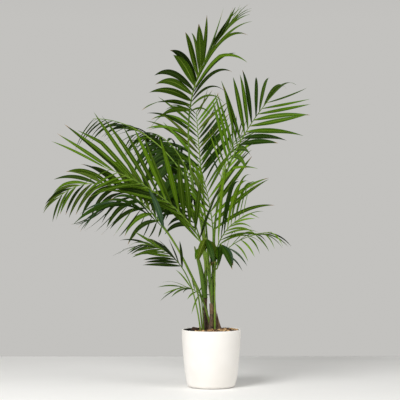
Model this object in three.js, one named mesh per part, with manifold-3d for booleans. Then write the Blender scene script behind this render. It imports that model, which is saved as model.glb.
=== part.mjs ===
// A young kentia palm clump, about 1.9 m tall, in a plain white nursery pot.
// Three slim stems and a few thin shoots stand in a root ball; each carries arching fronds.
// A frond is a bare stalk and a blade: a midrib with two ranks of long pointed leaflets.
//
// Millimetres, +Z up. The origin is the centre of the pot's flat underside, and -Y is the front.
// Every solid keeps GAP clear of what carries it.

import * as THREE from "three";
import { mergeVertices } from "three/addons/utils/BufferGeometryUtils.js";
import Module from "manifold-3d";

const wasm = await Module();
wasm.setup();

// ---------------------------------------------------------------- driving sizes

const GAP = 0.3;
const UP = new THREE.Vector3(0, 0, 1);

const POT = {
  height: 292,
  rim: 150, // outer radius at the lip
  waist: 142, // outer radius at half height
  foot: 105, // radius of the flat underside
  heel: 18, // height of the rounded bottom corner
  wall: 5,
  floor: 8,
  lip: 4, // how far the lip stands inward
  sides: 36,
};

const SOIL = { top: 278, sides: 24 };

const CHIP = { count: 8, long: 34, wide: 20, thick: 7, ring: 92, seed: 11 };

// A stem rises from its foot on the soil through a waist to its crown, where the stalks start.
// flare is the radius at the soil, girth above the flare and tip at the crown.
const STEMS = [
  { name: "main", foot: [35, 0], waist: [12, 2, 410], crown: [11, 4, 603], flare: 20, girth: 9.5, tip: 8 },
  { name: "centre", foot: [-2, -27], waist: [2, -22, 435], crown: [-13, -14, 606], flare: 11, girth: 8,
    tip: 7 },
  { name: "left", foot: [-24, 34], waist: [-31, 32, 435], crown: [-27, 32, 600], flare: 11, girth: 8,
    tip: 7 },
];
const FLARE_HEIGHT = 110;

// One rank of leaflets: low and high are its angles from the midrib at the first and last leaflet
// and fan how late it goes from one to the other. lift is its angle out of the blade, longest the
// longest leaflet, sag and tipSag how far the first and last leaflets droop, and first and last
// the share of the longest length that they have. slat is how far, in degrees, each leaflet is
// tipped about its own length, and breadth how broad it is beside the usual.
const rank = (low, high, fan, lift, longest, sag, tipSag, first, last, slat, breadth) => (
  { low, high, fan, lift, longest, sag, tipSag, first, last, slat, breadth }
);

// One frond: foot is where its midrib law starts, heading its compass direction (0 is +X, 90 is
// +Y), lean its angle from upright at the foot, arch what it bends over by, late how late it bends
// and sway how far the heading turns. bare is the stalk's share of the length. roll and twist turn
// the blade about its midrib. stem names the stem that carries it; soil is the foot of a shoot.
const FRONDS = [
  { name: "top", stem: "main", foot: [4, 2, 633], heading: -53, lean: -25, arch: 75, late: 1.88, sway: 14,
    length: 1225, bare: 0.65, roll: -170, twist: 40, girth: 6.5, pairs: 11,
    left: rank(95, 24, 1.27, -9.7, 480, 1, -0.3, 0.74, 0.41, -15, 1.5),
    right: rank(70, 13, 0.4, 6.6, 419, 2, 0.45, 0.4, 0.52, 30, 0.55) },
  { name: "right", stem: "main", foot: [16, 4, 633], heading: -30, lean: -5.4, arch: 46, late: 0.9, sway: 42,
    length: 896, bare: 0.52, roll: 33, twist: 90, girth: 6.5, pairs: 10,
    left: rank(32, 59, 2.2, 40, 326, -0.3, 0.94, 1.3, 1, -35, 1.1),
    right: rank(95, 31, 0.98, 40, 346, 1.49, -0.3, 0.4, 0.56, -35, 1.1) },
  { name: "lower_right", soil: [17, -42], foot: [20, -6, 606], heading: -20, lean: 10, arch: 77, late: 0.6,
    sway: 12, length: 365, bare: 0.15, roll: -124, twist: -59, girth: 4.5, pairs: 6,
    left: rank(66, 54, 1, 16, 145, 1.3, 1.3, 1, 1, 15, 0.6),
    right: rank(59, 52, 1, 16, 275, 0.98, 0.98, 0.76, 0.63, 28, 0.6) },
  { name: "rear", stem: "main", foot: [8, 20, 633], heading: 70, lean: 9, arch: 68, late: 1.8, sway: -2,
    length: 845, bare: 0.5, roll: 31, twist: -19, girth: 6, pairs: 8,
    left: rank(41, 13, 1, 13, 230, -0.3, -0.3, 0.93, 0.9, -20, 0.6),
    right: rank(30, 20, 1, 13, 245, 0.15, 0.15, 0.99, 0.6, -20, 0.55) },
  { name: "front_right", stem: "main", foot: [20, -22, 634], heading: -25, lean: -4.9, arch: 79, late: 0.82,
    sway: -23, length: 315, bare: 0.24, roll: -234, twist: -85, girth: 5, pairs: 6,
    left: rank(20, 58, 2.2, 40, 447, 1.47, 1.5, 1.3, 0.44, 5, 0.6),
    right: rank(39, 13, 2.2, 40, 260, 1.4, 0.07, 1.14, 1, -50, 0.6) },
  { name: "left_front", stem: "centre", foot: [-18, -20, 633], heading: -150, lean: 7, arch: 66, late: 0.6,
    sway: -52, length: 750, bare: 0.13, roll: -5, twist: 70, girth: 6.5, pairs: 12,
    left: rank(57, 13, 1.3, 8, 480, 0.2, 0.1, 1.2, 0.64, 40, 0.85),
    right: rank(63, 30, 1, 0, 365, -0.06, -0.06, 1, 1, -40, 1.15) },
  { name: "front", stem: "centre", foot: [-2, -34, 635], heading: -132, lean: -20, arch: 64, late: 0.84,
    sway: 27, length: 453, bare: 0.33, roll: -154, twist: -37, girth: 5.5, pairs: 6,
    left: rank(60, 13, 1.73, -24, 193, -0.3, -0.3, 1, 0.56, 50, 1),
    right: rank(57, 29, 1.16, -30, 362, 0.37, 0.43, 1.05, 0.46, 28, 0.75) },
  { name: "inner_front", stem: "centre", foot: [-20, -41, 636], heading: -95, lean: 5, arch: 105, late: 1.2,
    sway: 5, length: 270, bare: 0.4, roll: 0, twist: 5, girth: 4, pairs: 3,
    left: rank(55, 30, 1, -60, 130, 1, 1, 1, 0.9, 80, 2),
    right: rank(55, 30, 1, -60, 130, 1, 1, 1, 0.9, 80, 2) },
  { name: "inner_right", stem: "main", foot: [30, -12, 620], heading: -80, lean: 10, arch: 100, late: 1.3,
    sway: -5, length: 230, bare: 0.4, roll: 0, twist: 10, girth: 4, pairs: 3,
    left: rank(60, 35, 1, -60, 140, 1, 1, 1, 0.9, 80, 2),
    right: rank(60, 35, 1, -60, 120, 1, 1, 1, 0.9, 80, 2) },
  { name: "centre_back", stem: "centre", foot: [-14, 2, 633], heading: 95, lean: 33, arch: -20, late: 2.3,
    sway: 9, length: 890, bare: 0.57, roll: -180, twist: 20, girth: 6, pairs: 10,
    left: rank(45, 42, 1, 2, 290, -0.1, -0.1, 1, 0.8, -28, 1),
    right: rank(45, 45, 1, 2, 300, 0.5, 0.5, 1, 0.8, 40, 0.8) },
  { name: "dark_left", stem: "left", foot: [-40, 42, 743], heading: 135, lean: 12, arch: 79, late: 1.9,
    sway: -3, length: 790, bare: 0.25, roll: 0, twist: 10, girth: 6, pairs: 11,
    left: rank(62, 35, 1, -25, 270, 1.3, 1.3, 0.9, 0.6, -50, 1.2),
    right: rank(62, 35, 1, -25, 270, 1.3, 1.3, 0.9, 0.6, -5, 1.2) },
  { name: "upper_left_back", stem: "left", foot: [-46, 30, 871], heading: 150, lean: 20, arch: 70, late: 1,
    sway: -11, length: 955, bare: 0.25, roll: -241, twist: 70, girth: 6, pairs: 10,
    left: rank(14, 30, 1, 52, 330, 0.6, 0.6, 0.75, 0.86, 50, 0.6),
    right: rank(32, 37, 1, 52, 200, 0.82, 0.82, 1, 0.3, -40, 0.5) },
  { name: "rear_left", stem: "left", foot: [-32, 44, 631], heading: 118, lean: 21, arch: 58, late: 1.3,
    sway: 6, length: 560, bare: 0.3, roll: -96, twist: -3, girth: 5.5, pairs: 7,
    left: rank(42, 13, 1, 5, 340, 0.68, 0.68, 0.96, 0.89, -10, 0.9),
    right: rank(14, 13, 1, 5, 255, 0.19, 0.19, 0.97, 1, -40, 0.9) },
  { name: "far_left", soil: [5, 2], foot: [-42, 12, 437], heading: 186, lean: 24, arch: 110, late: 2.24,
    sway: -32, length: 1105, bare: 0.41, split: 0.78, roll: 91, twist: -12, girth: 6, pairs: 12,
    left: rank(26, 14, 1, 12, 270, 0.15, 0.5, 1.1, 0.45, -20, 1.25),
    right: rank(58, 20, 1, 35, 275, 1.5, 0.7, 0.9, 0.5, 5, 1.25) },
  { name: "low_left", soil: [-42, -44], foot: [-73, -40, 493], heading: -165, lean: 24, arch: 94, late: 2.4,
    sway: 2, length: 725, bare: 0.48, split: 0.8, roll: -96, twist: -70, girth: 4.5, pairs: 9,
    left: rank(103, 13, 1.5, 60, 210, -0.3, -0.4, 0.3, 0.82, 45, 0.6),
    right: rank(40, 13, 0.35, 60, 365, 1.1, 1.06, 0.83, 0.3, 65, 0.55) },
  { name: "lower_left", soil: [-54, -64], foot: [-56, -62, 300], heading: -160, lean: 9, arch: 85, late: 2.1,
    sway: -12, length: 580, bare: 0.55, roll: -167, twist: -10, girth: 4.5, pairs: 7,
    left: rank(83, 64, 1, 7, 255, 0.06, 0.06, 0.89, 0.54, 28, 1),
    right: rank(56, 49, 1, 7, 385, 0.21, 0.21, 1, 0.7, -50, 1) },
  { name: "small_left", soil: [-36, 4], foot: [-48, 2, 420], heading: -178, lean: 6, arch: 70, late: 1.6,
    sway: 0, length: 190, bare: 0.5, roll: -20, twist: 0, girth: 3.5, pairs: 4,
    left: rank(60, 30, 1, 5, 150, 0.4, 0.4, 1, 0.8, -28, 0.6),
    right: rank(60, 30, 1, 5, 150, 0.5, 0.5, 1, 0.8, 28, 0.6) },
];

const LEAFLET = {
  width: 0.082, // of its length
  narrowest: 17,
  widest: 29,
  least: 8, // a slim frond's leaflets are no narrower than this
  tipLoss: 0.4, // share of its width that a blade's last leaflet lacks
  thinness: 88, // length over thickness
  outline: [0.13, 1, 0.8, 0.07], // share of the width at the root, two stations and the tip
  stiffOutline: [0.13, 1, 0.07],
  rootDepth: 0.45, // thickness at the root, of the full thickness
  narrow: 13, // least angle from the midrib, so that the last leaflets fan out
  stiff: 0.3, // a leaflet that droops less than this is straight enough for one bend
};
const RIB_TIP = 1.8; // radius of a midrib's tip
const RIB_START = 0.62; // radius where the blade starts, of the stalk's girth
const LAW_STEPS = 60;

// ---------------------------------------------------------------- solids

// A closed three.js geometry as a solid that can be joined and cut.
function solidOf(geometry) {
  const bare = geometry.clone();
  bare.deleteAttribute("normal");
  bare.deleteAttribute("uv");
  const merged = mergeVertices(bare, 1e-3);
  return new wasm.Manifold(new wasm.Mesh({
    numProp: 3,
    vertProperties: new Float32Array(merged.attributes.position.array),
    triVerts: new Uint32Array(merged.index.array),
  }));
}

function geometryOf(solid) {
  const { vertProperties, triVerts } = solid.getMesh();
  const geometry = new THREE.BufferGeometry();
  geometry.setAttribute("position", new THREE.BufferAttribute(new Float32Array(vertProperties), 3));
  geometry.setIndex(new THREE.BufferAttribute(new Uint32Array(triVerts), 1));
  geometry.computeVertexNormals();
  return geometry;
}

// Joins solids and keeps the one outer body, so scraps and sealed hollows go.
function joined(solids) {
  const pieces = wasm.Manifold.union(solids).decompose();
  return pieces.reduce((best, piece) => (piece.volume() > best.volume() ? piece : best));
}

// True when no two corners of a solid lie so close that they would count as one.
function crisp(solid) {
  const { vertProperties } = solid.getMesh();
  const geometry = new THREE.BufferGeometry();
  geometry.setAttribute("position", new THREE.BufferAttribute(new Float32Array(vertProperties), 3));
  return mergeVertices(geometry, 5e-3).attributes.position.count === vertProperties.length / 3;
}

const overlap = (a, b) => a.intersect(b).volume() > 0;

function boxesMeet(a, b) {
  const [p, q] = [a.boundingBox(), b.boundingBox()];
  return [0, 1, 2].every((k) => p.min[k] - GAP < q.max[k] && q.min[k] - GAP < p.max[k]);
}

// A prism bent along a path. station(share) gives its centre, the two unit vectors across it and
// its two half sizes there.
function bent(sides, steps, turn, station) {
  const geometry = new THREE.CylinderGeometry(1, 1, 1, sides, steps, false, turn);
  const spot = new THREE.Vector3();
  const place = geometry.attributes.position;
  for (let i = 0; i < place.count; i += 1) {
    spot.fromBufferAttribute(place, i);
    const at = station(spot.y + 0.5);
    const moved = at.centre.clone();
    moved.addScaledVector(at.across, spot.x * at.half);
    moved.addScaledVector(at.above, spot.z * at.depth);
    place.setXYZ(i, moved.x, moved.y, moved.z);
  }
  return solidOf(geometry);
}

// A tapering round limb along a three.js curve. radius(share) is its radius along it.
function limb(curve, sides, steps, radius, extra = 0) {
  return bent(sides, steps, 0, (share) => {
    const along = curve.getTangent(share);
    const above = new THREE.Vector3(0, 1, 0.2).cross(along).normalize();
    const across = along.clone().cross(above);
    const size = radius(share) + extra;
    return { centre: curve.getPoint(share), across, above, half: size, depth: size };
  });
}

const mix = THREE.MathUtils.lerp;
const radians = THREE.MathUtils.degToRad;

// A small repeatable wobble between -1 and 1.
function wobble(seed) {
  const wave = Math.sin(seed * 12.9898 + 4.1) * 43758.5453;
  return 2 * (wave - Math.floor(wave)) - 1;
}

// ---------------------------------------------------------------- pot, root ball and bark

const potOuter = (height) => {
  const share = height / POT.height;
  return share < 0.5
    ? mix(POT.foot + 10, POT.waist, Math.sqrt(share * 2))
    : mix(POT.waist, POT.rim, Math.sin((share - 0.5) * Math.PI));
};

function pot() {
  const outer = [new THREE.Vector2(POT.foot, 0)];
  for (const height of [POT.heel * 0.35, POT.heel, 80, 150, 220, POT.height - 2]) {
    const round = Math.max(0, 1 - height / POT.heel);
    outer.push(new THREE.Vector2(potOuter(height) - 6 * round, height));
  }
  const inner = [];
  for (const height of [220, 150, 80, POT.floor]) {
    inner.push(new THREE.Vector2(potOuter(height) - POT.wall, height));
  }
  const profile = [
    new THREE.Vector2(0, 0),
    ...outer,
    new THREE.Vector2(POT.rim - 1.5, POT.height),
    new THREE.Vector2(POT.rim - POT.wall - POT.lip, POT.height),
    new THREE.Vector2(POT.rim - POT.wall - POT.lip, POT.height - 5),
    new THREE.Vector2(POT.rim - POT.wall, POT.height - 8),
    ...inner,
    new THREE.Vector2(0, POT.floor),
  ];
  return solidOf(new THREE.LatheGeometry(profile, POT.sides).rotateX(Math.PI / 2));
}

function rootBall() {
  const inside = (height) => potOuter(height) - POT.wall - GAP - 0.8;
  const profile = [new THREE.Vector2(0, POT.floor + GAP)];
  for (const height of [POT.floor + GAP, 80, 150, 220, SOIL.top]) {
    profile.push(new THREE.Vector2(inside(height), height));
  }
  profile.push(new THREE.Vector2(0, SOIL.top));
  return solidOf(new THREE.LatheGeometry(profile, SOIL.sides).rotateX(Math.PI / 2));
}

// A chip of pine bark: a flat block with its corners pulled about.
function barkChip(index) {
  const seed = CHIP.seed + index * 7;
  const size = [CHIP.long, CHIP.wide, CHIP.thick].map((side, k) => side * (1 + 0.3 * wobble(seed + k)));
  const geometry = new THREE.BoxGeometry(...size);
  const place = geometry.attributes.position;
  for (let i = 0; i < place.count; i += 1) {
    const corner = (place.getX(i) > 0) * 4 + (place.getY(i) > 0) * 2;
    place.setX(i, place.getX(i) * (0.75 + 0.25 * wobble(seed + corner)));
    place.setY(i, place.getY(i) * (0.75 + 0.25 * wobble(seed + corner + 1)));
  }
  const angle = radians((360 / CHIP.count) * index + 20 * wobble(seed + 3));
  const ring = CHIP.ring + 18 * wobble(seed + 5);
  geometry.rotateZ(angle * 3);
  geometry.translate(ring * Math.cos(angle), ring * Math.sin(angle), SOIL.top + GAP + size[2] / 2);
  return solidOf(geometry);
}

// ---------------------------------------------------------------- stems

const soilPoint = ([x, y]) => new THREE.Vector3(x, y, SOIL.top + GAP);

function stemCurve(stem) {
  return new THREE.CatmullRomCurve3([
    soilPoint(stem.foot),
    new THREE.Vector3(...stem.waist),
    new THREE.Vector3(...stem.crown),
  ]);
}

function stemSolid(stem, extra = 0) {
  const curve = stemCurve(stem);
  const height = stem.crown[2] - SOIL.top;
  const radius = (share) => {
    const flare = Math.max(0, 1 - (share * height) / FLARE_HEIGHT);
    return mix(stem.girth, stem.tip, share) + (stem.flare - stem.girth) * flare ** 2;
  };
  const level = solidOf(new THREE.BoxGeometry(400, 400, 400).translate(0, 0, SOIL.top + GAP - 200));
  return limb(curve, 10, 10, radius, extra).subtract(level);
}

// ---------------------------------------------------------------- fronds

// Walks a frond's midrib and returns its points with the unit vectors along it, square off its
// back and to its left.
function midrib(frond) {
  const path = [];
  const point = new THREE.Vector3(...frond.foot);
  let before = null;
  for (let i = 0; i <= LAW_STEPS; i += 1) {
    const share = i / LAW_STEPS;
    const lean = radians(frond.lean + frond.arch * share ** frond.late);
    const heading = radians(frond.heading + frond.sway * share);
    const outward = new THREE.Vector3(Math.cos(heading), Math.sin(heading), 0);
    const along = outward.clone().multiplyScalar(Math.sin(lean)).addScaledVector(UP, Math.cos(lean));
    const back = outward.clone().multiplyScalar(-Math.cos(lean)).addScaledVector(UP, Math.sin(lean));
    const left = UP.clone().cross(outward);
    if (before) {
      const step = frond.length / LAW_STEPS / 2;
      point.addScaledVector(before, step).addScaledVector(along, step);
    }
    path.push({ point: point.clone(), along, back, left });
    before = along;
  }
  return path;
}

function atShare(path, share) {
  const where = Math.min(Math.max(share, 0), 1) * LAW_STEPS;
  const low = Math.min(Math.floor(where), LAW_STEPS - 1);
  const spot = {};
  for (const key of ["point", "along", "back", "left"]) {
    spot[key] = path[low][key].clone().lerp(path[low + 1][key], where - low);
  }
  spot.along.normalize();
  return spot;
}

const ribRadius = (frond, share) => {
  const out = (share - frond.bare) / (1 - frond.bare);
  return mix(frond.girth * RIB_START, RIB_TIP, out ** 0.8);
};

// The midrib's solid between two shares of the frond's length.
function ribSolid(frond, path, from, to) {
  const steps = Math.max(4, Math.round(((to - from) * frond.length) / 55));
  return bent(3, steps, 0, (share) => {
    const here = mix(from, to, share);
    const spot = atShare(path, here);
    const above = spot.left.clone().cross(spot.along).normalize();
    const size = ribRadius(frond, Math.max(here, frond.bare));
    return { centre: spot.point, across: spot.along.clone().cross(above), above, half: size, depth: size };
  });
}

// The stalk: from the stem's crown, or from the soil, through the foot to where the blade starts.
function stalkCurve(frond, path) {
  const stem = STEMS.find(({ name }) => name === frond.stem);
  const start = stem ? stemCurve(stem).getPoint(0.97) : soilPoint(frond.soil);
  const points = [start];
  for (const share of [0, 0.33, 0.67, 0.9, 1]) {
    points.push(atShare(path, frond.bare * share - (2 * GAP) / frond.length).point);
  }
  return new THREE.CatmullRomCurve3(points, false, "centripetal");
}

function stalkSolid(frond, path, extra = 0) {
  const curve = stalkCurve(frond, path);
  const steps = Math.max(6, Math.round(curve.getLength() / 60));
  const radius = (share) => frond.girth * mix(1, RIB_START, share);
  const solid = limb(curve, 6, steps, radius, extra);
  if (!frond.soil) {
    return solid;
  }
  const level = solidOf(new THREE.BoxGeometry(400, 400, 400).translate(0, 0, SOIL.top + GAP - 200));
  return solid.subtract(level);
}

// How long a leaflet is at a share of the blade, of the longest.
function lengthShare(side, out) {
  const PEAK = 0.4;
  return out < PEAK
    ? 1 - (1 - side.first) * (1 - out / PEAK) ** 2
    : 1 - (1 - side.last) * ((out - PEAK) / (1 - PEAK)) ** 1.6;
}

// A leaflet's path and full width: it leaves the midrib at its rank's angle and sags more toward
// its tip.
function leafletPath(frond, path, side, sign, out, seed) {
  const spot = atShare(path, mix(frond.bare, 1, out));
  const roll = radians(frond.roll + frond.twist * out);
  const flat = spot.left.clone().multiplyScalar(Math.cos(roll)).addScaledVector(spot.back, Math.sin(roll));
  const off = spot.back.clone().multiplyScalar(Math.cos(roll)).addScaledVector(spot.left, -Math.sin(roll));
  const spread = mix(side.low, side.high, out ** side.fan) + 3 * wobble(seed);
  const angle = radians(Math.max(LEAFLET.narrow, spread));
  const lift = radians(side.lift);
  const first = spot.along.clone().multiplyScalar(Math.cos(angle));
  first.addScaledVector(flat, Math.sin(angle) * Math.cos(lift) * sign);
  first.addScaledVector(off, Math.sin(angle) * Math.sin(lift));
  const droop = mix(side.sag, side.tipSag, Math.sqrt(out));
  const length = side.longest * lengthShare(side, out) * (1 + 0.04 * wobble(seed + 1));
  const seat = ribRadius(frond, mix(frond.bare, 1, out)) * 0.35;
  const point = spot.point.clone().addScaledVector(first, seat);
  const points = [point.clone()];
  const PARTS = 6;
  for (let i = 0; i < PARTS; i += 1) {
    const sag = droop * ((i + 0.5) / PARTS) ** 1.5;
    const along = first.clone().addScaledVector(UP, -sag).normalize();
    point.addScaledVector(along, length / PARTS);
    points.push(point.clone());
  }
  const usual = THREE.MathUtils.clamp(length * LEAFLET.width, LEAFLET.narrowest, LEAFLET.widest);
  const full = Math.max(LEAFLET.least, usual * side.breadth * (1 - LEAFLET.tipLoss * out ** 2));
  const curve = new THREE.CatmullRomCurve3(points);
  return { curve, length, full, along: spot.along, droop, tip: side.slat * sign };
}

// A leaflet's solid: a thin strip with a keel under it, narrow at the root and pointed.
function leafletSolid({ curve, length, full, along, droop, tip }) {
  const widths = Math.abs(droop) < LEAFLET.stiff ? LEAFLET.stiffOutline : LEAFLET.outline;
  const steps = widths.length - 1;
  let across = along;
  const stations = widths.map((width, i) => {
    const forward = curve.getTangent(i / steps);
    across = across.clone().addScaledVector(forward, -across.dot(forward)).normalize();
    const tipped = across.clone().applyAxisAngle(forward, radians(tip));
    const thick = (length / LEAFLET.thinness) * (i === 0 ? LEAFLET.rootDepth : 1);
    return {
      centre: curve.getPoint(i / steps),
      across: tipped,
      above: tipped.clone().cross(forward),
      half: (full * width) / Math.sqrt(3),
      depth: thick / 1.5,
    };
  });
  return bent(3, steps, Math.PI, (share) => stations[Math.round(share * steps)]);
}

// ---------------------------------------------------------------- assembly

const palm = new THREE.Group();

const paint = {
  pot: { color: 0xf6f3ea, roughness: 0.38, metalness: 0 },
  soil: { color: 0x3a2a1e, roughness: 0.95, metalness: 0 },
  bark: { color: 0x9a5a2e, roughness: 0.9, metalness: 0 },
  stem: { color: 0x6f5a45, roughness: 0.85, metalness: 0 },
  stalk: { color: 0x6f9430, roughness: 0.5, metalness: 0 },
  blade: { color: 0x3f6b16, roughness: 0.45, metalness: 0 },
};

function add(name, solid, look) {
  const mesh = new THREE.Mesh(geometryOf(solid), new THREE.MeshStandardMaterial(look));
  mesh.name = name;
  palm.add(mesh);
}

add("pot", pot(), paint.pot);
add("root_ball", rootBall(), paint.soil);

const limbs = [];
const stemSleeves = [];
for (const stem of STEMS) {
  const solid = stemSolid(stem);
  add(`stem_${stem.name}`, solid, paint.stem);
  limbs.push({ owner: stem.name, solid });
  stemSleeves.push(stemSolid(stem, GAP));
}

for (let i = 0; i < CHIP.count; i += 1) {
  add(`bark_chip_${i + 1}`, barkChip(i), paint.bark);
}

// Stalks go in first, each cut clear of the stems and of the stalks before it.
const sleeves = [...stemSleeves];
const paths = new Map();
for (const frond of FRONDS) {
  const path = midrib(frond);
  paths.set(frond.name, path);
  let stalk = stalkSolid(frond, path);
  for (const sleeve of sleeves.filter((other) => boxesMeet(other, stalk))) {
    stalk = stalk.subtract(sleeve);
  }
  stalk = joined([stalk]);
  add(`stalk_${frond.name}`, stalk, paint.stalk);
  limbs.push({ owner: frond.name, solid: stalk });
  sleeves.push(stalkSolid(frond, path, GAP));
}

// A blade is one solid, or two where it bends over far.
const blades = [];
for (const frond of FRONDS) {
  const path = paths.get(frond.name);
  const ends = frond.split ? [frond.bare, frond.split, 1] : [frond.bare, 1];
  const clear = GAP / frond.length;
  for (let i = 0; i + 1 < ends.length; i += 1) {
    const rib = ribSolid(frond, path, ends[i] + clear, ends[i + 1]);
    const part = ends.length > 2 ? ["_inner", "_outer"][i] : "";
    const name = `frond_${frond.name}${part}`;
    blades.push({ frond, path, from: ends[i], to: ends[i + 1], rib, name, leaflets: [] });
    limbs.push({ owner: frond.name, solid: rib });
  }
}

// The leaflet at one place of a blade: fused on, or null where it would touch another limb or frond.
function fusedLeaflet(blade, body, others, sign, index) {
  const { frond, path } = blade;
  const side = sign > 0 ? frond.left : frond.right;
  const out = (index + 0.5 + 0.25 * sign) / frond.pairs;
  for (const nudge of [0, 0.5, 1]) {
    const seed = frond.length + index * 2 + sign + nudge;
    const leaflet = leafletSolid(leafletPath(frond, path, side, sign, out, seed));
    const clear = !others.some((other) => boxesMeet(other, leaflet) && overlap(other, leaflet));
    const whole = body.add(leaflet);
    if (clear && crisp(whole)) {
      return { leaflet, whole };
    }
  }
  return null;
}

for (const blade of blades) {
  const { frond } = blade;
  let body = blade.rib;
  const others = limbs.filter(({ solid }) => solid !== blade.rib).map(({ solid }) => solid);
  for (const other of blades.filter((entry) => entry !== blade)) {
    others.push(...other.leaflets);
  }
  for (let i = 0; i < frond.pairs; i += 1) {
    for (const sign of [1, -1]) {
      const share = mix(frond.bare, 1, (i + 0.5 + 0.25 * sign) / frond.pairs);
      const inside = share > blade.from + 0.004 && share < blade.to - 0.004;
      const fused = inside ? fusedLeaflet(blade, body, others, sign, i) : null;
      if (fused) {
        body = fused.whole;
        blade.leaflets.push(fused.leaflet);
      }
    }
  }
  add(blade.name, joined([body]), paint.blade);
}

export default palm;
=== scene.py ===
import math
import random

import bpy
import numpy as np
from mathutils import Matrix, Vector, noise


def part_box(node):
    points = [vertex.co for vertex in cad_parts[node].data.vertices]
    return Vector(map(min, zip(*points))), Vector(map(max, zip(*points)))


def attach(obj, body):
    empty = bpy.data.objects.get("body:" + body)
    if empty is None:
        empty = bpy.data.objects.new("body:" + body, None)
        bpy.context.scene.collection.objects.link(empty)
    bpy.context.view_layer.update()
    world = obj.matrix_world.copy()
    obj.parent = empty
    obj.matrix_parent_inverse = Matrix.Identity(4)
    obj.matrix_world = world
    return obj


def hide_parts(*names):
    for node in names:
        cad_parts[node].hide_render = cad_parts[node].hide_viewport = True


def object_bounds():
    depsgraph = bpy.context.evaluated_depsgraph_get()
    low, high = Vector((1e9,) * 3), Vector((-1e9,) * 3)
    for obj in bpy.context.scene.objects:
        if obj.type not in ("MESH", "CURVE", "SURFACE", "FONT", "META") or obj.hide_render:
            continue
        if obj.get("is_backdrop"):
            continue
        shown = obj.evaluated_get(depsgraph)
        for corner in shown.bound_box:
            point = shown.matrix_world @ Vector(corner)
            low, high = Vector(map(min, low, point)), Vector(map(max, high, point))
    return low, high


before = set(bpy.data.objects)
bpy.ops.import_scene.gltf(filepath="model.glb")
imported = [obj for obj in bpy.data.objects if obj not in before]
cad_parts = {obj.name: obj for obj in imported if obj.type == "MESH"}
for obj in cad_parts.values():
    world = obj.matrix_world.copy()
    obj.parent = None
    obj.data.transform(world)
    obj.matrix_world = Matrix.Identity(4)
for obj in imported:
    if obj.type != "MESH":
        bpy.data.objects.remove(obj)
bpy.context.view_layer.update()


# ------------------------------------------------------------------ pot
# A round nursery pot, injection moulded in one piece from off-white plastic with a satin skin.
# Its wall is 5 mm thick, swells from a small foot with a rounded heel, and ends in a lip that
# is rolled inward. It stands on its flat underside.
MM = 0.001
POT_HEIGHT = 292
POT_FOOT = 105  # outer radius of the flat underside
POT_HEEL = 18  # height of the rounded bottom corner
POT_WAIST = 142  # outer radius at half height
POT_RIM = 150  # outer radius at the lip
POT_WALL = 5
POT_FLOOR = 8
POT_SIDES = 144
FOOT_RING = 13  # width of the ring that the pot stands on
FOOT_HOLLOW = 1.2  # how far the underside is raised inside that ring
LIP_WIDTH, LIP_RISE = 4.2, 3.2  # half the width and half the height of the rolled lip
POT_WHITE = (0.86, 0.832, 0.795, 1)
POT_SHADE = (0.80, 0.768, 0.72, 1)
POT_SCUFF = (0.62, 0.58, 0.50, 1)
POT_PAINTED_SHADE = (0.030, 0.024, 0.018, 1)  # painted shade on the inner wall between the soil and the lip
SHADE_INSIDE = (0.1448, 0.1456)  # the painted shade fades out between these radii, in metres,
SHADE_BELOW = (0.2878, 0.2892)  # below the lip between these heights,
SHADE_ABOVE = (0.24, 0.25)  # and starts between these


def mix(low, high, share):
    return low + (high - low) * share


def pot_outer(height):
    share = height / POT_HEIGHT
    if share < 0.5:
        return mix(POT_FOOT + 10, POT_WAIST, math.sqrt(share * 2))
    return mix(POT_WAIST, POT_RIM, math.sin((share - 0.5) * math.pi))


def pot_profile():
    """The pot's section from the middle of its underside, up its outside and down its inside."""
    line = [(0, FOOT_HOLLOW), (POT_FOOT - FOOT_RING - 3, FOOT_HOLLOW)]
    line += [(POT_FOOT - FOOT_RING, 0.2), (POT_FOOT - 3, 0)]
    for turn in np.linspace(0.15, 1, 7):  # the rounded heel
        height = POT_HEEL * (1 - math.cos(turn * math.pi / 2))
        reach = math.sin(turn * math.pi / 2)
        line.append((mix(POT_FOOT - 1, pot_outer(POT_HEEL), reach), height))
    for height in np.linspace(POT_HEEL + 8, POT_HEIGHT - 10, 26):
        line.append((pot_outer(height), height))
    for turn in np.linspace(0, 1, 9):  # the rolled lip
        out, up = math.cos(turn * math.pi), math.sin(turn * math.pi)
        line.append((POT_RIM - LIP_WIDTH + LIP_WIDTH * out, POT_HEIGHT - LIP_RISE + LIP_RISE * up))
    line += [(POT_RIM - 8.6, POT_HEIGHT - 5.5), (POT_RIM - 7.2, POT_HEIGHT - 7.5)]
    for height in np.linspace(POT_HEIGHT - 10, POT_FLOOR + 14, 16):
        line.append((pot_outer(height) - POT_WALL, height))
    line += [(pot_outer(POT_FLOOR) - POT_WALL - 8, POT_FLOOR), (0, POT_FLOOR)]
    return line


def wall(rings, sides):
    """The faces between rings of points that follow one another."""
    faces = []
    for start in range(0, (rings - 1) * sides, sides):
        for k in range(sides):
            after = (k + 1) % sides
            faces.append((start + k, start + after, start + sides + after, start + sides + k))
    return faces


def lathed(line, sides):
    """A section turned about +Z: its points in millimetres and its faces."""
    points = []
    for radius, height in line:
        for k in range(sides):
            turn = 2 * math.pi * k / sides
            points.append((radius * math.cos(turn), radius * math.sin(turn), height))
    return points, wall(len(line), sides)


def put(name, data):
    """Puts a mesh, a lamp or a camera in the scene."""
    made = bpy.data.objects.new(name, data)
    bpy.context.scene.collection.objects.link(made)
    return made


def make_piece(name, points, faces, finishes, crease=50):
    """A mesh object from points in millimetres, smooth except across creases sharper than that."""
    mesh = bpy.data.meshes.new(name)
    mesh.from_pydata((np.asarray(points, float) * MM).tolist(), [], faces)
    mesh.polygons.foreach_set("use_smooth", [True] * len(mesh.polygons))
    mesh.set_sharp_from_angle(angle=math.radians(crease))
    for each in finishes:
        mesh.materials.append(each)
    return put(name, mesh)


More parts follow.
